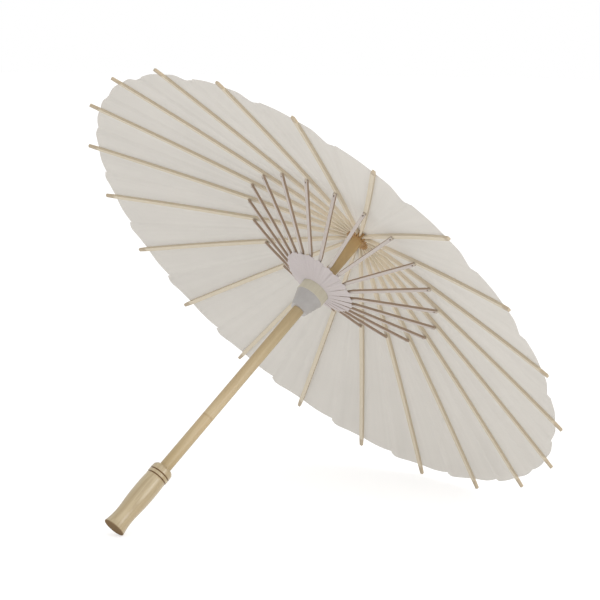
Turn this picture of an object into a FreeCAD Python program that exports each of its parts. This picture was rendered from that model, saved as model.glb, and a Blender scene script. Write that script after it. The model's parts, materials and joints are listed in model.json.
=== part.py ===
import FreeCAD, Part
import math
import os

# An oil paper umbrella, open and lying on a floor. It rests on the lower edge of its handle and on
# two neighbouring rib tips. All sizes are in millimetres.
#
# The pieces are first made in the umbrella's own frame: z runs up the shaft towards the head, the rib
# tips lie at z = 0, and x points midway between the two ribs that will touch the floor. A radial
# plane holds the distance r from the shaft's axis and the height z. At the end everything is tilted
# onto the floor, with the origin under the middle of the whole umbrella.

# ---- driving dimensions ----
RIB_COUNT = 21
PITCH = 2 * math.pi / RIB_COUNT

SHAFT_RADIUS = 6.25
RUNNING_CLEARANCE = 0.08

# long ribs: hinged on a wire ring in the head, slightly bowed, wide strips that thin out at the head
SPAN_RADIUS = 300.0
HEAD_HINGE_RADIUS = 11.0
HEAD_HINGE_HEIGHT = 78.0
RIB_BOW = 2.0
RIB_HALF_DEPTH_HEAD = 2.0
RIB_HALF_DEPTH_MIDDLE = 1.5
RIB_HALF_DEPTH_TIP = 1.3
RIB_BLADE_WIDTH = 1.5
# distance along the rib, and width there
RIB_WIDTHS = [
    (-3.0, RIB_BLADE_WIDTH),
    (8.0, RIB_BLADE_WIDTH),
    (14.0, 2.2),
    (40.0, 3.2),
    (60.0, 3.6),
    (113.0, 4.4),
    (180.0, 4.6),
    (288.0, 4.4),
    (300.0, 3.2),
]
RIB_TIP_WIDTH = RIB_WIDTHS[-1][1]
CLOSED_RIB_ANGLE = math.radians(87.0)

# stretchers: flat strips. The outer end is forked round a thin tab under the rib and pinned to it; the
# inner end thins to a tongue with an eye, which sits in a notch of the runner.
STRETCHER_ALONG_RIB = 113.3
STRIP_WIDTH = 3.6
STRIP_HALF_DEPTH = 1.3
TAB_DROP = 1.6
TAB_THICKNESS = 1.1
TAB_RADIUS = 1.3
FORK_SLOT_WIDTH = 1.4
FORK_SLOT_DEPTH = 2.6
TONGUE_THICKNESS = 1.3
TONGUE_LENGTH = 20.0
TONGUE_TAPER = 7.0
RUNNER_EYE_RADIUS = 1.8
STRETCHER_PIN_RADIUS = 0.4
PIN_CLEARANCE = 0.06

# runner
RUNNER_HINGE_RADIUS = 18.0
RUNNER_HINGE_HEIGHT = 6.0
CONE_BOTTOM = -26.5
CONE_TOP = -8.0
CONE_SMALL_RADIUS = 9.2
CONE_LARGE_RADIUS = 15.2
CONE_WALL = 1.6
RING_RADIUS = 15.6
RING_TOP = 3.0
SPIGOT_RADIUS = 11.0
SPIGOT_BOTTOM = -13.0
NOTCH_CORE_RADIUS = 15.5
NOTCH_TEETH_RADIUS = 19.6
NOTCH_TEETH_BOTTOM = 5.0
NOTCH_TOP = 9.5
NOTCH_SLOT_FLOOR = 15.9
NOTCH_SLOT_WIDTH = 1.6
KEYWAY_WIDTH = 2.2
KEYWAY_RADIUS = 8.2
ROSETTE_RIM_RADIUS = 43.0
ROSETTE_RIM_HEIGHT = 13.4
ROSETTE_THICKNESS = 0.35

# head, cap and finial
HEAD_RADIUS = 13.2
HEAD_BOTTOM = 75.0
HEAD_TOP = 87.5
HEAD_SLOT_WIDTH = 1.7
HEAD_SLOT_FLOOR = 8.3
HEAD_SLOT_TOP = 80.7
WIRE_RADIUS = 0.45
RIB_HOLE_RADIUS = 0.5
SHAFT_TOP = 96.0
CAP_NECK_RADIUS = 6.4
CAP_NECK_TOP = 103.0
CAP_NECK_BOTTOM = 99.5
CAP_RIM_RADIUS = 27.5
CAP_RIM_HEIGHT = 77.1
CAP_THICKNESS = 0.5
THREAD_RADIUS = 0.6
THREAD_HEIGHT = 101.6

# paper canopy
PAPER_GAP = 0.15
PAPER_THICKNESS = 0.35
PAPER_INNER_ALONG_RIB = 6.0
RIB_SHOWING = 11.0
RIM_BULGE = 1.5

# handle: a turned piece glued on the shaft's end
HANDLE_TOP = -245.5
HANDLE_END = -323.0
HANDLE_END_RADIUS = 11.5
HANDLE_EDGE = 1.0
SHAFT_END = -272.0

# stop peg above the runner and the sprung catch below it, both in one plane with the shaft's axis
STOP_PEG_RADIUS = 1.2
STOP_PEG_HALF_LENGTH = 8.2
CATCH_ANGLE = math.radians(60.0)
CATCH_PIVOT_RADIUS = 3.0
CATCH_PIVOT_HEIGHT = -62.0
CATCH_TIP_RADIUS = 7.9
CATCH_TIP_HEIGHT = -27.0
CATCH_THICKNESS = 1.2
CATCH_SLOT_WIDTH = 1.6
CATCH_SLOT_FLOOR = 0.8
CATCH_SLOT_BOTTOM = -66.0
CATCH_SLOT_TOP = -26.5
CATCH_PIN_RADIUS = 0.5


# ---- the folding geometry, in one radial plane ----
RIB_REACH = SPAN_RADIUS - HEAD_HINGE_RADIUS
RIB_LENGTH = math.hypot(RIB_REACH, HEAD_HINGE_HEIGHT)
OPEN_RIB_ANGLE = math.atan2(HEAD_HINGE_HEIGHT, RIB_REACH)


def arc_value(start, middle, end, along):
    """Height at a distance along a rib of the shallow arc through three heights."""
    s = along / RIB_LENGTH
    return start + (end - start) * s + (middle - (start + end) / 2) * 4 * s * (1 - s)


def rib_top(along):
    return arc_value(RIB_HALF_DEPTH_HEAD, RIB_BOW + RIB_HALF_DEPTH_MIDDLE, RIB_HALF_DEPTH_TIP, along)


def rib_bottom(along):
    return arc_value(-RIB_HALF_DEPTH_HEAD, RIB_BOW - RIB_HALF_DEPTH_MIDDLE, -RIB_HALF_DEPTH_TIP, along)


def on_rib(along, across, angle=OPEN_RIB_ANGLE):
    """(r, z) of a point of a rib, whose chord drops from the head by the given angle."""
    r = HEAD_HINGE_RADIUS + along * math.cos(angle) + across * math.sin(angle)
    z = HEAD_HINGE_HEIGHT - along * math.sin(angle) + across * math.cos(angle)
    return r, z


# the stretcher's pin lies in the tab, just under the rib
STRETCHER_ACROSS_RIB = rib_bottom(STRETCHER_ALONG_RIB) - TAB_DROP
JOINT_OPEN = on_rib(STRETCHER_ALONG_RIB, STRETCHER_ACROSS_RIB)
JOINT_CLOSED = on_rib(STRETCHER_ALONG_RIB, STRETCHER_ACROSS_RIB, CLOSED_RIB_ANGLE)
STRETCHER_LENGTH = math.hypot(
    JOINT_OPEN[0] - RUNNER_HINGE_RADIUS, JOINT_OPEN[1] - RUNNER_HINGE_HEIGHT
)
OPEN_STRETCHER_ANGLE = math.asin((JOINT_OPEN[1] - RUNNER_HINGE_HEIGHT) / STRETCHER_LENGTH)
CLOSED_STRETCHER_ANGLE = math.acos((JOINT_CLOSED[0] - RUNNER_HINGE_RADIUS) / STRETCHER_LENGTH)
CLOSED_RUNNER_HEIGHT = JOINT_CLOSED[1] - STRETCHER_LENGTH * math.sin(CLOSED_STRETCHER_ANGLE)

RUNNER_TRAVEL = RUNNER_HINGE_HEIGHT - CLOSED_RUNNER_HEIGHT
RIB_SWING = CLOSED_RIB_ANGLE - OPEN_RIB_ANGLE
STRETCHER_SWING = RIB_SWING + CLOSED_STRETCHER_ANGLE - OPEN_STRETCHER_ANGLE
# how far the catch can be pressed into its slot
CATCH_SWING = math.radians(3.4)

# ---- how the umbrella lies on the floor ----
CONTACT_ANGLE = PITCH / 2
TIP_LOW = on_rib(RIB_LENGTH, -RIB_HALF_DEPTH_TIP)
TIP_HIGH = on_rib(RIB_LENGTH, RIB_HALF_DEPTH_TIP)
TIP_INWARD = RIB_TIP_WIDTH / 2 * math.sin(CONTACT_ANGLE)
TIP_LOW_X = TIP_LOW[0] * math.cos(CONTACT_ANGLE) + TIP_INWARD
TIP_HIGH_X = TIP_HIGH[0] * math.cos(CONTACT_ANGLE) + TIP_INWARD
EDGE_CENTRE_X = HANDLE_END_RADIUS - HANDLE_EDGE
EDGE_CENTRE_Z = HANDLE_END + HANDLE_EDGE

# the floor touches the handle's rounded end edge and the two tips' lower corners
RUN_TO_EDGE = TIP_LOW_X - EDGE_CENTRE_X
DROP_TO_EDGE = TIP_LOW[1] - EDGE_CENTRE_Z
TILT = math.atan2(DROP_TO_EDGE, RUN_TO_EDGE) + math.asin(
    HANDLE_EDGE / math.hypot(RUN_TO_EDGE, DROP_TO_EDGE)
)
LIFT = TIP_LOW_X * math.sin(TILT) - TIP_LOW[1] * math.cos(TILT)
BACK_X = -EDGE_CENTRE_X * math.cos(TILT) + EDGE_CENTRE_Z * math.sin(TILT) - HANDLE_EDGE
FRONT_X = TIP_HIGH_X * math.cos(TILT) + TIP_HIGH[1] * math.sin(TILT)
SHIFT = -(BACK_X + FRONT_X) / 2
LIE_DOWN = FreeCAD.Placement(
    FreeCAD.Vector(SHIFT, 0, LIFT),
    FreeCAD.Rotation(FreeCAD.Vector(0, 1, 0), math.degrees(TILT)),
)


# ---- helpers ----
def v(x, y, z):
    return FreeCAD.Vector(x, y, z)


def line(a, b):
    return Part.LineSegment(a, b).toShape()


def arc(a, b, c):
    return Part.Arc(a, b, c).toShape()


def turned(profile):
    """Solid of revolution about the shaft's axis from a closed outline of (r, z) points."""
    points = [v(r, 0, z) for r, z in profile]
    face = Part.Face(Part.makePolygon(points + points[:1]))
    return face.revolve(v(0, 0, 0), v(0, 0, 1), 360)


def flat_piece(outline, thickness, y_middle=0.0):
    """A straight-sided piece in the radial plane, given as (r, z) points, thick across it."""
    points = [v(r, y_middle - thickness / 2, z) for r, z in outline]
    face = Part.Face(Part.makePolygon(points + points[:1]))
    return face.extrude(v(0, thickness, 0))


def cross_pin(r, z, radius, length):
    """A round pin across the radial plane, centred on it."""
    return Part.makeCylinder(radius, length, v(r, -length / 2, z), v(0, 1, 0))


def turned_by(shape, angle):
    copy = shape.copy()
    copy.rotate(v(0, 0, 0), v(0, 0, 1), math.degrees(angle))
    return copy


def rib_angle(number):
    """Direction of a rib round the shaft; ribs are numbered from 1."""
    return (number - 0.5) * PITCH


def all_slots(floor_radius, outer_radius, width, bottom, top):
    """One radial slot for every rib, as one compound to cut away."""
    corner = v(floor_radius, -width / 2, bottom)
    slot = Part.makeBox(outer_radius - floor_radius, width, top - bottom, corner)
    return Part.makeCompound([turned_by(slot, rib_angle(n)) for n in range(1, RIB_COUNT + 1)])


def keyway():
    """The groove along the runner's bore that the catch's tip passes through."""
    overrun = 1.0
    height = NOTCH_TOP - CONE_BOTTOM + 2 * overrun
    corner = v(0, -KEYWAY_WIDTH / 2, CONE_BOTTOM - overrun)
    slot = Part.makeBox(KEYWAY_RADIUS, KEYWAY_WIDTH, height, corner)
    return turned_by(slot, CATCH_ANGLE)


def write(name, shape):
    """Write one sub-part, tilted onto the floor."""
    placed = shape.copy()
    placed.Placement = LIE_DOWN.multiply(placed.Placement)
    placed.exportStep(os.path.join("parts", name + ".step"))
    print(f"{name}: {len(placed.Solids)} solid(s), valid {placed.isValid()}, {placed.Volume:.1f} mm3")


# ---- shaft and handle ----
def make_shaft():
    shaft = Part.makeCylinder(SHAFT_RADIUS, SHAFT_TOP - SHAFT_END, v(0, 0, SHAFT_END))
    peg_hole = cross_pin(0, stop_peg_height(), STOP_PEG_RADIUS, 2 * STOP_PEG_HALF_LENGTH)
    slot = Part.makeBox(
        SHAFT_RADIUS,
        CATCH_SLOT_WIDTH,
        CATCH_SLOT_TOP - CATCH_SLOT_BOTTOM,
        v(CATCH_SLOT_FLOOR, -CATCH_SLOT_WIDTH / 2, CATCH_SLOT_BOTTOM),
    )
    pin_hole = cross_pin(CATCH_PIVOT_RADIUS, CATCH_PIVOT_HEIGHT, CATCH_PIN_RADIUS, 2 * SHAFT_RADIUS)
    cuts = [turned_by(shape, CATCH_ANGLE) for shape in (peg_hole, slot, pin_hole)]
    return shaft.cut(cuts)


def make_handle():
    """Turned grip: a collar and two thin beads above a belly, a waist and a flared foot."""
    belly_top = v(10.7, 0, -260.0)
    outline = [
        v(SHAFT_RADIUS, 0, HANDLE_TOP),
        v(9.3, 0, HANDLE_TOP),
        v(10.9, 0, -247.6),
        v(11.3, 0, -252.4),
        v(10.2, 0, -253.2),
        v(11.3, 0, -254.0),
        v(11.2, 0, -256.8),
        v(10.0, 0, -257.6),
        v(10.9, 0, -258.4),
        belly_top,
    ]
    edges = [line(a, b) for a, b in zip(outline, outline[1:])]
    foot = v(HANDLE_END_RADIUS, 0, EDGE_CENTRE_Z)
    belly = v(11.2, 0, -275.0)
    below_belly = v(10.7, 0, -291.0)
    waist = v(9.8, 0, -305.0)
    flare = v(10.3, 0, -315.0)
    body = Part.BSplineCurve()
    body.interpolate([belly_top, belly, below_belly, waist, flare, foot])
    edges.append(body.toShape())
    diagonal = HANDLE_EDGE * math.sqrt(0.5)
    edge_middle = v(EDGE_CENTRE_X + diagonal, 0, EDGE_CENTRE_Z - diagonal)
    edge_end = v(EDGE_CENTRE_X, 0, HANDLE_END)
    edges.append(arc(foot, edge_middle, edge_end))
    socket_corner = v(SHAFT_RADIUS, 0, SHAFT_END)
    closing = [edge_end, v(0, 0, HANDLE_END), v(0, 0, SHAFT_END), socket_corner, outline[0]]
    edges += [line(a, b) for a, b in zip(closing, closing[1:])]
    face = Part.Face(Part.Wire(edges))
    return face.revolve(v(0, 0, 0), v(0, 0, 1), 360)


# ---- head, its wire ring, the cap and the finial ----
def make_head():
    """Notched wooden head on the shaft, with a groove bored round it for the wire ring."""
    chamfer = 2.0
    blank = turned(
        [
            (SHAFT_RADIUS, HEAD_BOTTOM),
            (HEAD_RADIUS, HEAD_BOTTOM),
            (HEAD_RADIUS, HEAD_TOP - chamfer),
            (HEAD_RADIUS - chamfer, HEAD_TOP),
            (SHAFT_RADIUS, HEAD_TOP),
        ]
    )
    slots = all_slots(HEAD_SLOT_FLOOR, HEAD_RADIUS + 2, HEAD_SLOT_WIDTH, HEAD_BOTTOM - 1, HEAD_SLOT_TOP)
    wire_groove = Part.makeTorus(HEAD_HINGE_RADIUS, RIB_HOLE_RADIUS, v(0, 0, HEAD_HINGE_HEIGHT))
    return blank.cut([slots, wire_groove])


def make_rib_wire():
    return Part.makeTorus(HEAD_HINGE_RADIUS, WIRE_RADIUS, v(0, 0, HEAD_HINGE_HEIGHT))


def make_top_cap():
    """Paper cap over the canopy's apex, with a neck round the finial's base."""
    outer = CAP_NECK_RADIUS + CAP_THICKNESS
    return turned(
        [
            (CAP_NECK_RADIUS, CAP_NECK_TOP),
            (outer, CAP_NECK_TOP),
            (outer, CAP_NECK_BOTTOM + CAP_THICKNESS),
            (CAP_RIM_RADIUS + CAP_THICKNESS, CAP_RIM_HEIGHT + CAP_THICKNESS),
            (CAP_RIM_RADIUS, CAP_RIM_HEIGHT),
            (CAP_NECK_RADIUS, CAP_NECK_BOTTOM),
        ]
    )


def make_cap_thread():
    """Three turns of thread that tie the cap's neck to the finial."""
    ring_radius = CAP_NECK_RADIUS + CAP_THICKNESS + THREAD_RADIUS
    heights = [THREAD_HEIGHT + 2 * THREAD_RADIUS * k for k in (-1, 0, 1)]
    return Part.makeCompound([Part.makeTorus(ring_radius, THREAD_RADIUS, v(0, 0, z)) for z in heights])


def make_finial():
    """Turned knob on the shaft's top end, with a small flat on its dome."""
    bottom = v(0, 0, SHAFT_TOP)
    base_edge = v(CAP_NECK_RADIUS, 0, SHAFT_TOP)
    shoulder = v(CAP_NECK_RADIUS, 0, CAP_NECK_TOP + 0.5)
    neck = v(5.2, 0, CAP_NECK_TOP + 1.6)
    knob = v(7.4, 0, CAP_NECK_TOP + 5.0)
    dome = v(5.5, 0, CAP_NECK_TOP + 9.4)
    top_edge = v(1.5, 0, CAP_NECK_TOP + 11.5)
    top = v(0, 0, CAP_NECK_TOP + 11.5)
    edges = [
        line(bottom, base_edge),
        line(base_edge, shoulder),
        line(shoulder, neck),
        line(neck, knob),
        arc(knob, dome, top_edge),
        line(top_edge, top),
        line(top, bottom),
    ]
    face = Part.Face(Part.Wire(edges))
    return face.revolve(v(0, 0, 0), v(0, 0, 1), 360)


# ---- ribs ----
def rib_point(along, across, y=0.0):
    r, z = on_rib(along, across)
    return v(r, y, z)


def rib_side_face(y):
    """The rib seen from the side: a round eye at the head, then a shallow bow to the tip."""
    half = RIB_HALF_DEPTH_HEAD
    middle = RIB_LENGTH / 2
    eye_low = rib_point(0, -half, y)
    eye_back = rib_point(-half, 0, y)
    eye_high = rib_point(0, half, y)
    middle_high = rib_point(middle, rib_top(middle), y)
    middle_low = rib_point(middle, rib_bottom(middle), y)
    tip_high = rib_point(RIB_LENGTH, RIB_HALF_DEPTH_TIP, y)
    tip_low = rib_point(RIB_LENGTH, -RIB_HALF_DEPTH_TIP, y)
    edges = [
        arc(eye_low, eye_back, eye_high),
        arc(eye_high, middle_high, tip_high),
        line(tip_high, tip_low),
        arc(tip_low, middle_low, eye_low),
    ]
    return Part.Face(Part.Wire(edges))


def rib_plan_prism():
    """The rib seen from above, as a tall prism: a thin blade at the head that widens into a strip."""
    depth = 2 * (RIB_BOW + 4)
    one_side = [rib_point(along, -depth / 2, width / 2) for along, width in RIB_WIDTHS]
    other_side = [rib_point(along, -depth / 2, -width / 2) for along, width in reversed(RIB_WIDTHS)]
    points = one_side + other_side
    face = Part.Face(Part.makePolygon(points + points[:1]))
    return face.extrude(rib_point(0, depth) - rib_point(0, 0))


def rib_tab():
    """Thin tab under the rib, rounded about the pin that holds the stretcher."""
    joint = STRETCHER_ALONG_RIB
    root = rib_bottom(joint) + 0.5
    outline = [
        (joint - TAB_RADIUS, root),
        (joint - TAB_RADIUS, STRETCHER_ACROSS_RIB),
        (joint + TAB_RADIUS, STRETCHER_ACROSS_RIB),
        (joint + TAB_RADIUS, root),
    ]
    points = [rib_point(along, across, -TAB_THICKNESS / 2) for along, across in outline]
    plate = Part.Face(Part.makePolygon(points + points[:1])).extrude(v(0, TAB_THICKNESS, 0))
    return plate.fuse(cross_pin(JOINT_OPEN[0], JOINT_OPEN[1], TAB_RADIUS, TAB_THICKNESS))


def make_rib():
    """One rib with the pin that holds its stretcher, in the plane y = 0."""
    widest = max(width for _, width in RIB_WIDTHS) + 1
    blank = rib_side_face(-widest / 2).extrude(v(0, widest, 0)).common(rib_plan_prism())
    head_hole = cross_pin(HEAD_HINGE_RADIUS, HEAD_HINGE_HEIGHT, RIB_HOLE_RADIUS, widest)
    pin = cross_pin(JOINT_OPEN[0], JOINT_OPEN[1], STRETCHER_PIN_RADIUS, STRIP_WIDTH)
    strip = blank.fuse(rib_tab()).cut([head_hole, pin])
    return Part.makeCompound([strip, pin])


# ---- stretchers ----
def stretcher_point(along, across, y):
    """A point of the open stretcher, measured from its pin in the rib towards the runner."""
    c = math.cos(OPEN_STRETCHER_ANGLE)
    s = math.sin(OPEN_STRETCHER_ANGLE)
    return v(JOINT_OPEN[0] - along * c - across * s, y, JOINT_OPEN[1] - along * s + across * c)


def stretcher_side_face(y):
    """The stretcher seen from the side: a straight strip, rounded at the pin and at the runner's eye."""
    half = STRIP_HALF_DEPTH
    eye = RUNNER_EYE_RADIUS
    end = STRETCHER_LENGTH
    tongue = end - TONGUE_LENGTH
    edges = [
        arc(stretcher_point(0, half, y), stretcher_point(-half, 0, y), stretcher_point(0, -half, y)),
        line(stretcher_point(0, -half, y), stretcher_point(tongue, -half, y)),
        line(stretcher_point(tongue, -half, y), stretcher_point(end, -eye, y)),
        arc(stretcher_point(end, -eye, y), stretcher_point(end + eye, 0, y), stretcher_point(end, eye, y)),
        line(stretcher_point(end, eye, y), stretcher_point(tongue, half, y)),
        line(stretcher_point(tongue, half, y), stretcher_point(0, half, y)),
    ]
    return Part.Face(Part.Wire(edges))


def stretcher_plan_prism():
    """The stretcher seen from above, as a tall prism: a wide strip that thins to a tongue."""
    overrun = 3.0
    end = STRETCHER_LENGTH
    tongue = end - TONGUE_LENGTH
    depth = 2 * (RUNNER_EYE_RADIUS + overrun)
    widths = [
        (-overrun, STRIP_WIDTH),
        (tongue - TONGUE_TAPER, STRIP_WIDTH),
        (tongue, TONGUE_THICKNESS),
        (end + overrun, TONGUE_THICKNESS),
    ]
    one_side = [stretcher_point(along, -depth / 2, width / 2) for along, width in widths]
    other_side = [stretcher_point(along, -depth / 2, -width / 2) for along, width in reversed(widths)]
    points = one_side + other_side
    face = Part.Face(Part.makePolygon(points + points[:1]))
    return face.extrude(stretcher_point(0, depth, 0) - stretcher_point(0, 0, 0))


def fork_slot():
    """Slot in the stretcher's outer end that takes the rib's tab."""
    deep = 2 * STRIP_HALF_DEPTH
    outline = [(-deep, -deep), (FORK_SLOT_DEPTH, -deep), (FORK_SLOT_DEPTH, deep), (-deep, deep)]
    points = [stretcher_point(along, across, -FORK_SLOT_WIDTH / 2) for along, across in outline]
    return Part.Face(Part.makePolygon(points + points[:1])).extrude(v(0, FORK_SLOT_WIDTH, 0))


def make_stretcher():
    side = stretcher_side_face(-STRIP_WIDTH).extrude(v(0, 2 * STRIP_WIDTH, 0))
    strip = side.common(stretcher_plan_prism())
    pin_hole_radius = STRETCHER_PIN_RADIUS + PIN_CLEARANCE
    pin_hole = cross_pin(JOINT_OPEN[0], JOINT_OPEN[1], pin_hole_radius, 2 * STRIP_WIDTH)
    eye_hole = cross_pin(RUNNER_HINGE_RADIUS, RUNNER_HINGE_HEIGHT, RIB_HOLE_RADIUS, 2 * STRIP_WIDTH)
    return strip.cut([fork_slot(), pin_hole, eye_hole])


# ---- runner ----
RUNNER_BORE = SHAFT_RADIUS + RUNNING_CLEARANCE


def make_runner_cone():
    """Moulded cup at the runner's lower end, open at the top."""
    cup_floor = CONE_BOTTOM + 2.5
    inner_small = CONE_SMALL_RADIUS - CONE_WALL + 1.0
    cup = turned(
        [
            (RUNNER_BORE, CONE_BOTTOM),
            (CONE_SMALL_RADIUS, CONE_BOTTOM),
            (CONE_LARGE_RADIUS, CONE_TOP),
            (CONE_LARGE_RADIUS - CONE_WALL, CONE_TOP),
            (inner_small, cup_floor),
            (RUNNER_BORE, cup_floor),
        ]
    )
    return cup.cut(keyway())


def make_runner_ring():
    """Pale wooden band on the cup's rim, with a spigot inside the cup."""
    band = turned(
        [
            (RUNNER_BORE, SPIGOT_BOTTOM),
            (SPIGOT_RADIUS, SPIGOT_BOTTOM),
            (SPIGOT_RADIUS, CONE_TOP),
            (RING_RADIUS, CONE_TOP),
            (RING_RADIUS, RING_TOP),
            (RUNNER_BORE, RING_TOP),
        ]
    )
    return band.cut(keyway())


def make_runner_notch():
    """Notched disc whose slots seat the stretchers' inner ends."""
    disc = turned(
        [
            (RUNNER_BORE, RING_TOP),
            (NOTCH_CORE_RADIUS, RING_TOP),
            (NOTCH_CORE_RADIUS, NOTCH_TEETH_BOTTOM),
            (NOTCH_TEETH_RADIUS, NOTCH_TEETH_BOTTOM),
            (NOTCH_TEETH_RADIUS, NOTCH_TOP),
            (RUNNER_BORE, NOTCH_TOP),
        ]
    )
    slots = all_slots(NOTCH_SLOT_FLOOR, NOTCH_TEETH_RADIUS + 2, NOTCH_SLOT_WIDTH, RING_TOP, NOTCH_TOP + 1)
    return disc.cut([slots, keyway()])


def make_rosette():
    """Paper skirt under the stretchers' inner ends, a plain thin cone here."""
    inner = RING_RADIUS + 0.15
    inner_height = RING_TOP + 0.05
    return turned(
        [
            (inner, inner_height - ROSETTE_THICKNESS),
            (ROSETTE_RIM_RADIUS, ROSETTE_RIM_HEIGHT - ROSETTE_THICKNESS),
            (ROSETTE_RIM_RADIUS, ROSETTE_RIM_HEIGHT),
            (inner, inner_height),
        ]
    )


# ---- stop peg and catch ----
def stop_peg_height():
    return NOTCH_TOP + 0.1 + STOP_PEG_RADIUS


def make_stop_peg():
    peg = cross_pin(0, stop_peg_height(), STOP_PEG_RADIUS, 2 * STOP_PEG_HALF_LENGTH)
    return turned_by(peg, CATCH_ANGLE)


def make_catch_spring():
    """Thin sprung strip in the shaft's slot, whose tip stands out just below the runner."""
    low = CATCH_PIVOT_HEIGHT
    strip = flat_piece(
        [
            (CATCH_PIVOT_RADIUS - 1.4, low - 1.6),
            (CATCH_PIVOT_RADIUS + 1.4, low - 1.6),
            (CATCH_PIVOT_RADIUS + 1.6, low + 2.0),
            (CATCH_TIP_RADIUS, CATCH_TIP_HEIGHT - 3.0),
            (CATCH_TIP_RADIUS, CATCH_TIP_HEIGHT),
            (CATCH_TIP_RADIUS - 2.6, CATCH_TIP_HEIGHT),
            (CATCH_PIVOT_RADIUS - 1.4, low + 2.0),
        ],
        CATCH_THICKNESS,
    )
    hole = cross_pin(CATCH_PIVOT_RADIUS, low, CATCH_PIN_RADIUS + PIN_CLEARANCE, 4)
    return turned_by(strip.cut(hole), CATCH_ANGLE)


def make_catch_pin():
    half_chord = math.sqrt(SHAFT_RADIUS**2 - (CATCH_PIVOT_RADIUS + CATCH_PIN_RADIUS) ** 2)
    pin = cross_pin(CATCH_PIVOT_RADIUS, CATCH_PIVOT_HEIGHT, CATCH_PIN_RADIUS, 2 * half_chord)
    return turned_by(pin, CATCH_ANGLE)


# ---- paper canopy ----
def canopy_outline(squeeze, rim_extra):
    """The paper's section in a radial plane. squeeze scales r: 1 over a rib, less between ribs."""
    start = PAPER_INNER_ALONG_RIB
    middle = RIB_LENGTH / 2
    end = RIB_LENGTH - RIB_SHOWING + rim_extra

    def point(along, extra):
        r, z = on_rib(along, rib_top(along) + PAPER_GAP + extra)
        return v(r * squeeze, 0, z)

    below = [point(along, 0) for along in (start, middle, end)]
    above = [point(along, PAPER_THICKNESS) for along in (start, middle, end)]
    rim = line(below[2], above[2])
    apex = line(above[0], below[0])
    return Part.Wire([arc(*below), rim, arc(*reversed(above)), apex])


def make_canopy():
    """The open paper canopy: one thin many-sided shell that spans straight from rib to rib."""
    over_rib = canopy_outline(1, 0)
    between = canopy_outline(math.cos(PITCH / 2), RIM_BULGE)
    gores = []
    for n in range(1, RIB_COUNT + 1):
        middle = turned_by(between, rib_angle(n) + PITCH / 2)
        for side in (0, PITCH):
            edge = turned_by(over_rib, rib_angle(n) + side)
            gores.append(Part.makeLoft([edge, middle], True, True))
    shell = gores[0].fuse(gores[1:])
    return shell.removeSplitter()


def main():
    os.makedirs("parts", exist_ok=True)
    write("shaft", make_shaft())
    write("handle", make_handle())
    write("head", make_head())
    write("rib_wire", make_rib_wire())
    write("top_cap", make_top_cap())
    write("cap_thread", make_cap_thread())
    write("finial", make_finial())
    write("stop_peg", make_stop_peg())
    write("catch_spring", make_catch_spring())
    write("catch_pin", make_catch_pin())
    write("runner_cone", make_runner_cone())
    write("runner_ring", make_runner_ring())
    write("runner_notch", make_runner_notch())
    write("rosette", make_rosette())
    write("canopy", make_canopy())
    rib = make_rib()
    stretcher = make_stretcher()
    for n in range(1, RIB_COUNT + 1):
        write(f"rib_{n:02d}", turned_by(rib, rib_angle(n)))
        write(f"stretcher_{n:02d}", turned_by(stretcher, rib_angle(n)))
    swings = {"rib": RIB_SWING, "stretcher": STRETCHER_SWING, "catch": CATCH_SWING, "tilt": TILT}
    print(f"travel: {RUNNER_TRAVEL:.3f} mm")
    for name, angle in swings.items():
        print(f"{name}: {math.degrees(angle):.3f} deg")


main()
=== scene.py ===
import json
import math
import bpy
from mathutils import Matrix, Vector, noise


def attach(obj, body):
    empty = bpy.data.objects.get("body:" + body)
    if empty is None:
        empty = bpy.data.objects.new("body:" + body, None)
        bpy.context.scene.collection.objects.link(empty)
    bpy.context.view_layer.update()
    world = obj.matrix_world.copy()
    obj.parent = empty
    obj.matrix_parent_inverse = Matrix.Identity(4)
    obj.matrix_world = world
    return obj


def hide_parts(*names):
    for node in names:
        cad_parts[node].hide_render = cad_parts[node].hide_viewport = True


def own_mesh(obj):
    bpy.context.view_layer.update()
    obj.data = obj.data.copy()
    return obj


# An open oil paper umbrella lying on its handle end and two rib tips. Everything is in metres, in
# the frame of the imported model. Points are worked out in the umbrella's own cylinder coordinates:
# radius from the shaft's axis, angle round it, and height along it, with the rib tips near height 0.

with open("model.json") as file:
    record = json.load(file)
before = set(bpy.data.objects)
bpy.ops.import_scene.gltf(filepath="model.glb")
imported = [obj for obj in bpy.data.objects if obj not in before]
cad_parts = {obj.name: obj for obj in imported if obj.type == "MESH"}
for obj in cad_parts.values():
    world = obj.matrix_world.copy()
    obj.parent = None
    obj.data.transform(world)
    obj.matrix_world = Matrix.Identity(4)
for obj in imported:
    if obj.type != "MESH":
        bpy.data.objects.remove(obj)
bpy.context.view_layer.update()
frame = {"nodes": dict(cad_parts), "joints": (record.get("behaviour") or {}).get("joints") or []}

# ---- the umbrella's own axes, from the joints ----
JOINTS = {joint["name"]: joint for joint in frame["joints"]}
RIB_NUMBERS = range(1, 1 + sum(name.startswith("rib_") for name in JOINTS))
PITCH = 2 * math.pi / len(RIB_NUMBERS)
HALF_PITCH = PITCH / 2
UP = -Vector(JOINTS["runner_slide"]["axis"])
ACROSS = Vector((0, 1, 0))
FORWARD = ACROSS.cross(UP)
HINGES = [Vector(JOINTS[f"rib_{n:02d}_hinge"]["pos_m"]) for n in RIB_NUMBERS]
HEAD = sum(HINGES, Vector()) / len(HINGES)
HINGE_RADIUS = (HINGES[0] - HEAD).length
HEAD_HEIGHT = 0.078

# ---- ribs: the chord's slope and the shallow arc of their top face ----
RIB_BOW = 0.002
RIB_HALF_DEPTH_HEAD = 0.002
RIB_HALF_DEPTH_MIDDLE = 0.0015
RIB_HALF_DEPTH_TIP = 0.0013

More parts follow.
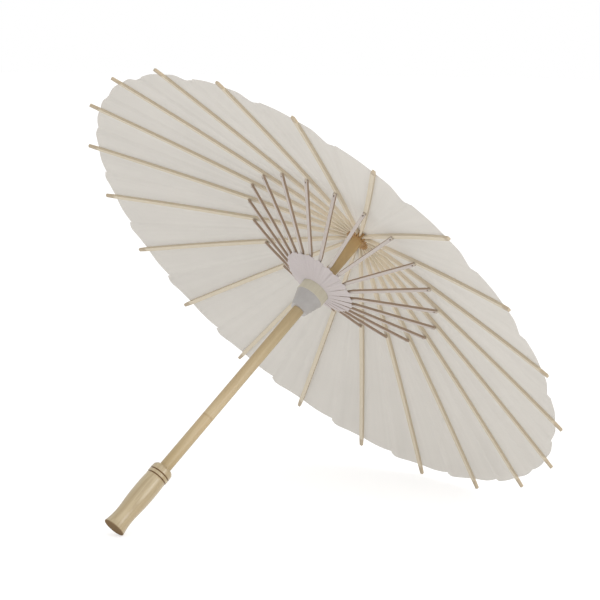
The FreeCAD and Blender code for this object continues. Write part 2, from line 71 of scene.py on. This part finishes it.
# ---- paper canopy ----
PAPER_GAP = 0.0001
PAPER_THICKNESS = 0.0001
PAPER_START = 0.006
RIB_SHOWING = 0.011
RIM_ROUND = 0.0022
RIM_HALF_BULGE = 0.0024
FOLD_DEPTH = 0.0022
FOLD_REACH = 0.35
FOLD_BOTTOM = 0.84
HALF_GORE_BELLY = 0.00035
WRINKLE_DEPTH = 0.0003
BROAD_WRINKLES = 13.0
FINE_WRINKLES = 37.0
PAPER_ROWS = 60
PAPER_COLUMNS = 32
# the next panel is cut further out at the folds on one side of the canopy, and further in across from it
RIM_STEP = 0.0036
RIM_STEP_SIDE = math.radians(240)

# ---- shading ----
SHARP_EDGE = math.radians(40)

# ---- pleated paper skirt at the runner ----
ROSETTE_INNER_RADIUS = 0.0158
ROSETTE_INNER_HEIGHT = 0.0029
ROSETTE_RIM_RADIUS = 0.0424
ROSETTE_RIM_VARIES = 0.0012
ROSETTE_OFF_CENTRE = 0.0016
ROSETTE_WIDE_SIDE = 2.25
ROSETTE_SLOPE = 0.375
ROSETTE_SCALLOP = 0.0016
ROSETTE_PLEAT = 0.0009
ROSETTE_LAP = 0.0004
ROSETTE_THICKNESS = 0.0002
ROSETTE_ROWS = 16
ROSETTE_COLUMNS = 12

# ---- where tones change: radii round the shaft and heights along it ----
# radii over which painted light near the head fades out, on the paper and on the ribs
HUB_PAINTED_LIGHT_RADII = (0.04, 0.13)
RIB_TIP_DARK_BAND = (0.2885, 0.2915)
SHAFT_KNOT = -0.177
SHAFT_LOW = -0.24
SHAFT_NEAR_HEAD = (-0.005, 0.07)
HANDLE_GROOVES = (-0.2532, -0.2576)
HANDLE_FOOT = -0.323

# ---- view ----
CAMERA_PLACE = Vector((-1.2141, -1.5386, 0.4648))
CAMERA_TURN = 0.8998
CAMERA_TILT = -0.1264
CAMERA_ROLL = 0.0191
LENS = 116.46
SENSOR = 36.0

# ---- light ----
WORLD_STRENGTH = 1.0
FLOOR_GLOW = 0.63
FLOOR_HALF = 30.0
VIEW_DEPTH = 50.0
KEY_PLACE = (0.3, -2.4, 0.9)
KEY_SIZE = 1.2
KEY_POWER = 17.0
TOP_PLACE = (-0.9, -1.6, 2.4)
TOP_SIZE = 1.8
TOP_POWER = 8.0


def out(angle):
    return FORWARD * math.cos(angle) + ACROSS * math.sin(angle)


def place(radius, angle, height):
    return HEAD + out(angle) * radius + UP * (height - HEAD_HEIGHT)


def rib_angle(number):
    return (number - 0.5) * PITCH


def rib_chord():
    """Length and slope of the open rib's chord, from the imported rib."""
    hinge = HINGES[0]
    far = max((v.co - hinge for v in frame["nodes"]["rib_01"].data.vertices), key=lambda d: d.length)
    reach = far.dot(out(rib_angle(1)))
    drop = -far.dot(UP) - RIB_HALF_DEPTH_TIP
    return math.hypot(reach, drop), math.atan2(drop, reach)


RIB_LENGTH, RIB_SLOPE = rib_chord()


def rib_top(along):
    s = along / RIB_LENGTH
    start, end = RIB_HALF_DEPTH_HEAD, RIB_HALF_DEPTH_TIP
    middle = RIB_BOW + RIB_HALF_DEPTH_MIDDLE
    return start + (end - start) * s + (middle - (start + end) / 2) * 4 * s * (1 - s)


def on_rib(along, across):
    radius = HINGE_RADIUS + along * math.cos(RIB_SLOPE) + across * math.sin(RIB_SLOPE)
    height = HEAD_HEIGHT - along * math.sin(RIB_SLOPE) + across * math.cos(RIB_SLOPE)
    return radius, height


# ---- mesh helpers ----
def new_piece(name, vertices, faces, materials):
    """A mesh shaded smooth everywhere but at its sharp edges."""
    mesh = bpy.data.meshes.new(name)
    mesh.from_pydata([tuple(v) for v in vertices], [], faces)
    mesh.update()
    for m in materials:
        mesh.materials.append(m)
    mesh.shade_smooth()
    mesh.set_sharp_from_angle(angle=SHARP_EDGE)
    piece = bpy.data.objects.new(name, mesh)
    bpy.context.scene.collection.objects.link(piece)
    return piece


def sheet_solid(rows, columns, point):
    """Closed thin shell over a grid: point(i, j, side) gives the lower (0) and upper (1) surface.

    The two surfaces run together along the first and last column, and a wall joins them at both ends."""
    vertices = []
    number = {}
    for side in (0, 1):
        for i in range(rows + 1):
            for j in range(columns + 1):
                if side == 1 and j in (0, columns):
                    number[i, j, 1] = number[i, j, 0]
                else:
                    number[i, j, side] = len(vertices)
                    vertices.append(point(i, j, side))
    faces = []
    for i in range(rows):
        for j in range(columns):
            corners = ((i, j), (i, j + 1), (i + 1, j + 1), (i + 1, j))
            faces.append([number[a, b, 0] for a, b in corners])
            faces.append([number[a, b, 1] for a, b in reversed(corners)])
    for j in range(columns):
        for i, a, b in ((0, j + 1, j), (rows, j, j + 1)):
            wall = (number[i, a, 0], number[i, b, 0], number[i, b, 1], number[i, a, 1])
            faces.append(list(dict.fromkeys(wall)))
    return vertices, faces


# ---- node helpers ----
class Graph:
    """A material's node tree with short calls for the nodes used here."""

    def __init__(self, name):
        self.material = bpy.data.materials.new(name)
        self.material.use_nodes = True
        self.tree = self.material.node_tree
        self.shader = self.tree.nodes["Principled BSDF"]

    def node(self, kind, inputs=(), **settings):
        made = self.tree.nodes.new(kind)
        for key, value in settings.items():
            setattr(made, key, value)
        for key, value in dict(inputs).items():
            self.put(made.inputs[key], value)
        return made

    def put(self, socket, value):
        if isinstance(value, bpy.types.NodeSocket):
            self.tree.links.new(value, socket)
        else:
            socket.default_value = value

    def math(self, operation, a, b=0.0, c=0.0):
        return self.node("ShaderNodeMath", {0: a, 1: b, 2: c}, operation=operation).outputs[0]

    def dot(self, a, b):
        return self.node("ShaderNodeVectorMath", {0: a, 1: b}, operation="DOT_PRODUCT").outputs["Value"]

    def vector(self, x, y, z):
        return self.node("ShaderNodeCombineXYZ", {0: x, 1: y, 2: z}).outputs[0]

    def stretched(self, x, y, height, across, lengthwise):
        """The point scaled apart across the shaft and along it, for grain that runs along the shaft."""
        wide = [self.math("MULTIPLY", part, across) for part in (x, y)]
        return self.vector(wide[0], wide[1], self.math("MULTIPLY", height, lengthwise))

    def noise(self, vector, scale, detail=4.0, roughness=0.55, distortion=0.0):
        inputs = {"Vector": vector, "Scale": scale, "Detail": detail}
        inputs.update({"Roughness": roughness, "Distortion": distortion})
        return self.node("ShaderNodeTexNoise", inputs).outputs["Fac"]

    def ramp(self, value, low, high, out_low=0.0, out_high=1.0):
        inputs = {"Value": value, "From Min": low, "From Max": high, "To Min": out_low, "To Max": out_high}
        return self.node("ShaderNodeMapRange", inputs).outputs[0]

    def mix(self, factor, a, b):
        made = self.node("ShaderNodeMix", data_type="RGBA")
        self.put(made.inputs["Factor"], factor)
        self.put(made.inputs["A"], a)
        self.put(made.inputs["B"], b)
        return made.outputs["Result"]

    def bump(self, height, strength, distance):
        inputs = {"Height": height, "Strength": strength, "Distance": distance}
        return self.node("ShaderNodeBump", inputs).outputs[0]

    def place(self):
        """The point's radius, angle and height about the shaft at rest, and its x and y across it."""
        point = self.node("ShaderNodeTexCoord").outputs["Object"]
        offset = self.node("ShaderNodeVectorMath", {0: point, 1: HEAD}, operation="SUBTRACT")
        from_head = offset.outputs[0]
        x = self.dot(from_head, FORWARD)
        y = self.dot(from_head, ACROSS)
        height = self.math("ADD", self.dot(from_head, UP), HEAD_HEIGHT)
        squares = self.math("ADD", self.math("MULTIPLY", x, x), self.math("MULTIPLY", y, y))
        radius = self.math("SQRT", squares)
        angle = self.math("ARCTAN2", y, x)
        return radius, angle, height, x, y

    def finish(self, colour, roughness, normal=None, **more):
        self.put(self.shader.inputs["Base Color"], colour)
        self.put(self.shader.inputs["Roughness"], roughness)
        if normal is not None:
            self.put(self.shader.inputs["Normal"], normal)
        for key, value in more.items():
            self.put(self.shader.inputs[key.replace("_", " ")], value)
        return self.material


def rgb(red, green, blue):
    """A colour from display values of 0 to 255."""
    return tuple(((v / 255 + 0.055) / 1.055) ** 2.4 for v in (red, green, blue)) + (1.0,)


# ---- materials ----
def paper_material(name, light, dark, streaks, glow, hub_painted_light):
    """Thin white paper: soft fibre mottling, faint radial streaks, painted light near the head that lifts
    the shade among the ribs there, and lit through.
    """
    g = Graph(name)
    radius, angle, height, x, y = g.place()
    flat = g.vector(x, y, height)
    cloud = g.noise(flat, 14.0, 3.0)
    fibre = g.noise(flat, 900.0, 5.0, 0.7)
    around = g.vector(
        g.math("MULTIPLY", radius, 5.0),
        g.math("MULTIPLY", g.math("SINE", angle), streaks),
        g.math("MULTIPLY", g.math("COSINE", angle), streaks),
    )
    streak = g.noise(around, 1.0, 5.0, 0.6)
    tone = g.math("ADD", g.math("MULTIPLY", cloud, 0.35), g.math("MULTIPLY", streak, 0.45))
    tone = g.math("ADD", tone, g.math("MULTIPLY", fibre, 0.2))
    colour = g.mix(g.ramp(tone, 0.35, 0.65), dark, light)
    # painted light: the paper is lightened towards the head to lift the shade among the ribs and
    # stretchers there
    colour = g.mix(g.ramp(radius, *HUB_PAINTED_LIGHT_RADII, hub_painted_light, 0.0), colour, rgb(244, 241, 236))
    height_map = g.math("ADD", g.math("MULTIPLY", fibre, 0.1), streak)
    normal = g.bump(height_map, 0.25, 0.0003)
    made = g.finish(colour, g.ramp(fibre, 0.3, 0.7, 0.72, 0.9), normal, Specular_IOR_Level=0.25)
    through = g.node("ShaderNodeBsdfTranslucent", {"Color": colour, "Normal": normal}).outputs[0]
    mixed = g.node("ShaderNodeMixShader", {0: glow, 1: g.shader.outputs[0], 2: through}).outputs[0]
    g.put(g.tree.nodes["Material Output"].inputs["Surface"], mixed)
    return made


def bamboo_material(name, light, dark, edge, edge_depth, hub_painted_light):
    """Split bamboo: long fibres, a tone of its own for every strip, darker cut faces, painted light near
    the head, and a darker band at the rib tips.
    """
    g = Graph(name)
    radius, angle, height, x, y = g.place()
    turns = g.math("DIVIDE", angle, PITCH)
    number = g.math("FLOOR", turns)
    off_centre = g.math("MULTIPLY", g.math("SUBTRACT", g.math("SUBTRACT", turns, number), 0.5), PITCH)
    sideways = g.math("MULTIPLY", radius, off_centre)
    seed = g.math("MULTIPLY", number, 7.31)
    along = g.vector(
        g.math("ADD", g.math("MULTIPLY", radius, 22.0), seed),
        g.math("MULTIPLY", sideways, 1500.0),
        g.math("MULTIPLY", height, 500.0),
    )
    fibre = g.noise(along, 1.0, 4.0, 0.6)
    own = g.noise(g.vector(seed, 3.7, 1.9), 1.0, 1.0)
    slow = g.noise(g.vector(g.math("MULTIPLY", radius, 9.0), seed, 0.0), 1.0, 2.0)
    tone = g.math("ADD", g.math("MULTIPLY", fibre, 0.55), g.math("MULTIPLY", own, 0.25))
    tone = g.math("ADD", tone, g.math("MULTIPLY", slow, 0.2))
    face = g.mix(g.ramp(tone, 0.35, 0.65), dark, light)
    facing = g.node("ShaderNodeTexCoord").outputs["Normal"]
    flank_x = g.math("MULTIPLY", g.dot(facing, FORWARD), g.math("SINE", angle))
    flank_y = g.math("MULTIPLY", g.dot(facing, ACROSS), g.math("COSINE", angle))
    flank = g.math("ABSOLUTE", g.math("SUBTRACT", flank_y, flank_x))
    colour = g.mix(g.ramp(flank, 0.5, 0.8, 0.0, edge_depth), face, edge)
    # painted light: the ribs are lightened and warmed towards the head to lift the shade among them there
    colour = g.mix(g.ramp(radius, *HUB_PAINTED_LIGHT_RADII, hub_painted_light, 0.0), colour, rgb(243, 231, 209))
    # a darker band at the very tips of the ribs
    tip = g.ramp(radius, *RIB_TIP_DARK_BAND, 0.0, 0.45)
    colour = g.mix(tip, colour, rgb(132, 108, 76))
    normal = g.bump(fibre, 0.35, 0.0003)
    return g.finish(colour, g.ramp(fibre, 0.3, 0.7, 0.45, 0.65), normal, Specular_IOR_Level=0.35)


def shaft_material():
    """Varnished tan wood with lengthwise grain and one knot, darker below it and warmer at the head."""
    g = Graph("varnished_shaft")
    radius, angle, height, x, y = g.place()
    grain = g.noise(g.stretched(x, y, height, 260.0, 7.0), 1.0, 5.0, 0.6, 0.4)
    broad = g.noise(g.stretched(x, y, height, 70.0, 11.0), 1.0, 2.0)
    pale = g.mix(g.ramp(grain, 0.3, 0.7), rgb(172, 152, 117), rgb(189, 172, 139))
    colour = g.mix(g.ramp(broad, 0.42, 0.66), pale, rgb(172, 151, 115))
    from_knot = g.math("SUBTRACT", height, SHAFT_KNOT)
    knot = g.ramp(g.math("ABSOLUTE", from_knot), 0.0004, 0.0016, 0.5, 0.0)
    below_knot = g.math("LESS_THAN", from_knot, 0.0)
    stain = g.math("MULTIPLY", g.ramp(from_knot, -0.024, -0.002, 0.0, 0.5), below_knot)
    colour = g.mix(g.math("MULTIPLY", stain, g.ramp(broad, 0.35, 0.6)), colour, rgb(168, 138, 92))
    colour = g.mix(knot, colour, rgb(150, 124, 84))
    colour = g.mix(g.ramp(height, SHAFT_LOW, SHAFT_KNOT, 0.7, 0.1), colour, rgb(154, 133, 92))
    colour = g.mix(g.ramp(height, *SHAFT_NEAR_HEAD, 0.0, 0.85), colour, rgb(202, 170, 118))
    return g.finish(colour, g.ramp(grain, 0.3, 0.7, 0.38, 0.48), g.bump(grain, 0.08, 0.0002),
                    Coat_Weight=0.25, Coat_Roughness=0.25, Specular_IOR_Level=0.4)


def handle_material():
    """Light turned wood under clear varnish, with painted shade in its turned grooves and a darker foot
    that is partly bare end grain and partly painted shade.
    """
    g = Graph("varnished_handle")
    radius, angle, height, x, y = g.place()
    grain = g.noise(g.stretched(x, y, height, 300.0, 14.0), 1.0, 5.0, 0.62, 0.6)
    broad = g.noise(g.stretched(x, y, height, 60.0, 18.0), 1.0, 3.0)
    pale = g.mix(g.ramp(grain, 0.33, 0.68), rgb(154, 136, 103), rgb(178, 162, 130))
    colour = g.mix(g.ramp(broad, 0.42, 0.66), pale, rgb(163, 144, 110))
    # painted shade: dark lines in the two turned grooves
    for groove_height in HANDLE_GROOVES:
        distance = g.math("ABSOLUTE", g.math("SUBTRACT", height, groove_height))
        colour = g.mix(g.ramp(distance, 0.0003, 0.0009, 0.85, 0.0), colour, rgb(110, 78, 48))
    # the foot below the varnish is darker: partly its bare end grain, partly painted shade where the
    # glowing floor lights it
    varnish_and_foot_shade = g.ramp(height, HANDLE_FOOT + 0.0003, HANDLE_FOOT + 0.0016)
    colour = g.mix(varnish_and_foot_shade, rgb(118, 98, 74), colour)
    return g.finish(colour, g.ramp(grain, 0.3, 0.7, 0.32, 0.42), g.bump(grain, 0.1, 0.0002),
                    Coat_Weight=g.math("MULTIPLY", varnish_and_foot_shade, 0.4), Coat_Roughness=0.2,
                    Specular_IOR_Level=g.math("MULTIPLY", varnish_and_foot_shade, 0.45))


def plain_wood_material(name, light, dark, roughness):
    """Bare wood with fine lengthwise grain."""
    g = Graph(name)
    radius, angle, height, x, y = g.place()
    grain = g.noise(g.stretched(x, y, height, 500.0, 60.0), 1.0, 5.0, 0.6, 0.3)
    colour = g.mix(g.ramp(grain, 0.35, 0.65), dark, light)
    rough = g.ramp(grain, 0.3, 0.7, roughness, roughness + 0.1)
    return g.finish(colour, rough, g.bump(grain, 0.2, 0.0002))


def plastic_material():
    """Warm grey-white moulded plastic with a faint mould texture and slight milkiness."""
    g = Graph("runner_plastic")
    radius, angle, height, x, y = g.place()
    spot = g.vector(x, y, height)
    fine = g.noise(spot, 2600.0, 3.0, 0.6)
    cloud = g.noise(spot, 160.0, 3.0)
    colour = g.mix(g.ramp(cloud, 0.35, 0.65), rgb(155, 150, 147), rgb(161, 157, 154))
    return g.finish(colour, g.ramp(fine, 0.3, 0.7, 0.3, 0.4), g.bump(fine, 0.1, 0.0001),
                    Specular_IOR_Level=0.8, Coat_Weight=0.5, Coat_Roughness=0.25)


def metal_material(name, colour):
    """Drawn metal with fine scratches along it."""
    g = Graph(name)
    radius, angle, height, x, y = g.place()
    scratch = g.noise(g.stretched(x, y, height, 2000.0, 200.0), 1.0, 3.0)
    worn = tuple(c * 0.8 for c in colour[:3]) + (1.0,)
    shade = g.mix(g.ramp(scratch, 0.3, 0.7), worn, colour)
    rough = g.ramp(scratch, 0.3, 0.7, 0.25, 0.42)
    return g.finish(shade, rough, g.bump(scratch, 0.1, 0.0001), Metallic=1.0)


def thread_material():
    """Waxed cotton thread with a slanted twist."""
    g = Graph("cotton_thread")
    radius, angle, height, x, y = g.place()
    twist = g.math("ADD", g.math("MULTIPLY", angle, 60.0), g.math("MULTIPLY", height, 5200.0))
    ply = g.math("ADD", g.math("MULTIPLY", g.math("SINE", twist), 0.5), 0.5)
    colour = g.mix(ply, rgb(190, 182, 166), rgb(232, 226, 212))
    return g.finish(colour, 0.7, g.bump(ply, 0.6, 0.0002))


PAPER = paper_material(
    "canopy_paper", rgb(226, 223, 218), rgb(220, 217, 212), streaks=42.0, glow=0.5, hub_painted_light=0.7
)
ROSETTE_PAPER = paper_material(
    "rosette_paper", rgb(208, 200, 198), rgb(194, 185, 184), streaks=30.0, glow=0.15, hub_painted_light=0.0
)
RIB_BAMBOO = bamboo_material(
    "rib_bamboo", rgb(203, 193, 174), rgb(190, 178, 156), rgb(196, 182, 158), edge_depth=0.7, hub_painted_light=0.8
)
STRETCHER_BAMBOO = bamboo_material(
    "stretcher_bamboo", rgb(190, 181, 175), rgb(176, 166, 159), rgb(156, 134, 114),
    edge_depth=0.95, hub_painted_light=0.0,
)
SHAFT_WOOD = shaft_material()
HANDLE_WOOD = handle_material()
HEAD_WOOD = plain_wood_material("head_wood", rgb(204, 168, 118), rgb(174, 132, 82), 0.5)
BAND_WOOD = plain_wood_material("runner_band", rgb(196, 190, 172), rgb(188, 181, 162), 0.5)
PLASTIC = plastic_material()
STEEL = metal_material("drawn_wire", (0.62, 0.61, 0.59, 1.0))
SPRING = metal_material("spring_strip", (0.66, 0.64, 0.6, 1.0))
THREAD = thread_material()

NODE_MATERIALS = {
    "shaft": SHAFT_WOOD,
    "handle": HANDLE_WOOD,
    "head": HEAD_WOOD,
    "rib_wire": STEEL,
    "top_cap": PAPER,
    "cap_thread": THREAD,
    "finial": HANDLE_WOOD,
    "stop_peg": RIB_BAMBOO,
    "catch_spring": SPRING,
    "catch_pin": STEEL,
    "runner_cone": PLASTIC,
    "runner_ring": BAND_WOOD,
    "runner_notch": BAND_WOOD,
}


def dress_frame():
    """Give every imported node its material."""
    for name, node in frame["nodes"].items():
        material = NODE_MATERIALS.get(name, RIB_BAMBOO)
        if name.startswith("stretcher_"):
            material = STRETCHER_BAMBOO
        node.data.materials.clear()
        node.data.materials.append(material)


# ---- canopy ----
def smooth_step(value, start, end):
    """0 at the start and 1 at the end, with a gentle rise between them."""
    t = min(1.0, max(0.0, (value - start) / (end - start)))
    return t * t * (3 - 2 * t)


def rim_step(number):
    """How much further out the next panel is cut than this one, at the fold after this rib."""
    return RIM_STEP * math.cos(rib_angle(number) + HALF_PITCH - RIM_STEP_SIDE)


def rim_along(number, side):
    """Where the paper ends along the rib: a rounded rim of half-gore bulges, with a step at each fold."""
    u = abs(side)
    shift = -rim_step(number) if side > 0 else rim_step(number - 1)
    own_step = 0.5 * shift * u * u
    bulge = RIM_ROUND * u + RIM_HALF_BULGE * math.sin(math.pi * u)
    return RIB_LENGTH - RIB_SHOWING + bulge + own_step


def paper_relief(along, side, angle):
    """How far the paper stands off the flat span between two ribs; the fold lies just before mid-gore."""
    reach = along / RIB_LENGTH
    u = abs(side)
    fold = HALF_GORE_BELLY * math.sin(math.pi * u) ** 2
    if side > FOLD_REACH:
        dip = smooth_step(side, FOLD_REACH, FOLD_BOTTOM) * smooth_step(side, 1.0, FOLD_BOTTOM)
        fold -= FOLD_DEPTH * dip
    broad = noise.noise(out(angle) * BROAD_WRINKLES + UP * along * BROAD_WRINKLES)
    fine = noise.noise(out(angle) * FINE_WRINKLES + UP * along * FINE_WRINKLES)
    wrinkle = 0.5 + 0.4 * broad + 0.1 * fine
    return reach * fold + WRINKLE_DEPTH * min(1.0, reach * 2) * wrinkle * min(1.0, u * 5)


def make_canopy_panel(number):
    """The paper that hangs on one rib, from the fold before it to the fold after it."""
    middle = rib_angle(number)

    def point(i, j, layer):
        side = 2 * j / PAPER_COLUMNS - 1
        angle = middle + side * HALF_PITCH
        end = rim_along(number, side)
        along = PAPER_START + (end - PAPER_START) * i / PAPER_ROWS
        radius, height = on_rib(along, rib_top(along) + PAPER_GAP)
        radius *= math.cos(HALF_PITCH) / math.cos(HALF_PITCH * (1 - abs(side)))
        normal = out(angle) * math.sin(RIB_SLOPE) + UP * math.cos(RIB_SLOPE)
        lift = paper_relief(along, side, angle) + layer * PAPER_THICKNESS
        return place(radius, angle, height) + normal * lift

    vertices, faces = sheet_solid(PAPER_ROWS, PAPER_COLUMNS, point)
    panel = new_piece(f"canopy_paper_{number:02d}", vertices, faces, [PAPER])
    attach(panel, f"rib_{number:02d}")
    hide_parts("canopy")
    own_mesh(panel)


# ---- rosette ----
def make_rosette_petal(number):
    """One pleat of the paper skirt, pasted under one stretcher's inner end."""
    middle = rib_angle(number)

    def point(i, j, layer):
        side = 2 * j / ROSETTE_COLUMNS - 1
        u = abs(side)
        off_centre = ROSETTE_OFF_CENTRE * math.cos(middle - ROSETTE_WIDE_SIDE)
        uneven = ROSETTE_RIM_VARIES * noise.noise(Vector((number * 1.7, 0.5, 2.3)))
        rim = ROSETTE_RIM_RADIUS + off_centre + uneven - ROSETTE_SCALLOP * u * u
        share = i / ROSETTE_ROWS
        radius = ROSETTE_INNER_RADIUS + (rim - ROSETTE_INNER_RADIUS) * share
        wave = 0.5 - 0.5 * math.cos(2 * math.pi * u)
        pleat = share * (ROSETTE_LAP * side - ROSETTE_PLEAT * wave)
        height = ROSETTE_INNER_HEIGHT + ROSETTE_SLOPE * (radius - ROSETTE_INNER_RADIUS) + pleat
        return place(radius, middle + side * HALF_PITCH, height + layer * ROSETTE_THICKNESS)

    vertices, faces = sheet_solid(ROSETTE_ROWS, ROSETTE_COLUMNS, point)
    petal = new_piece(f"rosette_pleat_{number:02d}", vertices, faces, [ROSETTE_PAPER])
    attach(petal, f"stretcher_{number:02d}")
    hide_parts("rosette")
    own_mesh(petal)


# ---- room, light and view ----
def make_floor():
    """A wide white floor that glows a little, as a light table does, so that shadows stay faint."""
    corners = [(x * FLOOR_HALF, y * FLOOR_HALF, 0) for x, y in ((-1, -1), (1, -1), (1, 1), (-1, 1))]
    g = Graph("floor")
    speckle = g.noise(g.node("ShaderNodeTexCoord").outputs["Object"], 30.0)
    glow = {"Emission_Color": (1, 1, 1, 1), "Emission_Strength": FLOOR_GLOW, "Specular_IOR_Level": 0.0}
    g.finish(g.mix(speckle, (0.50, 0.50, 0.50, 1), (0.52, 0.52, 0.52, 1)), 0.9, **glow)
    new_piece("floor", corners, [(0, 1, 2, 3)], [g.material])


def make_light(name, location, size, power):
    data = bpy.data.lights.new(name, "AREA")
    data.shape = "DISK"
    data.size = size
    data.energy = power
    light = bpy.data.objects.new(name, data)
    light.location = location
    aim = HEAD - Vector(location)
    light.rotation_euler = aim.to_track_quat("-Z", "Y").to_euler()
    bpy.context.scene.collection.objects.link(light)


def make_lights():
    world = bpy.data.worlds.new("studio")
    world.use_nodes = True
    background = world.node_tree.nodes["Background"]
    background.inputs["Color"].default_value = (1, 1, 1, 1)
    background.inputs["Strength"].default_value = WORLD_STRENGTH
    bpy.context.scene.world = world
    make_light("key", KEY_PLACE, KEY_SIZE, KEY_POWER)
    make_light("top", TOP_PLACE, TOP_SIZE, TOP_POWER)


def make_camera():
    data = bpy.data.cameras.new("camera")
    data.lens = LENS
    data.sensor_width = SENSOR
    data.clip_end = VIEW_DEPTH
    camera = bpy.data.objects.new("camera", data)
    bpy.context.scene.collection.objects.link(camera)
    level = math.cos(CAMERA_TILT)
    sideways = math.sin(CAMERA_TURN)
    ahead = Vector((level * math.cos(CAMERA_TURN), level * sideways, math.sin(CAMERA_TILT)))
    look = ahead.to_track_quat("-Z", "Y").to_matrix() @ Matrix.Rotation(CAMERA_ROLL, 3, "Z")
    camera.matrix_world = Matrix.Translation(CAMERA_PLACE) @ look.to_4x4()
    bpy.context.scene.camera = camera


dress_frame()
for rib_number in RIB_NUMBERS:
    make_canopy_panel(rib_number)
    make_rosette_petal(rib_number)
make_floor()
make_lights()
make_camera()
bpy.context.scene.view_settings.view_transform = "Standard"
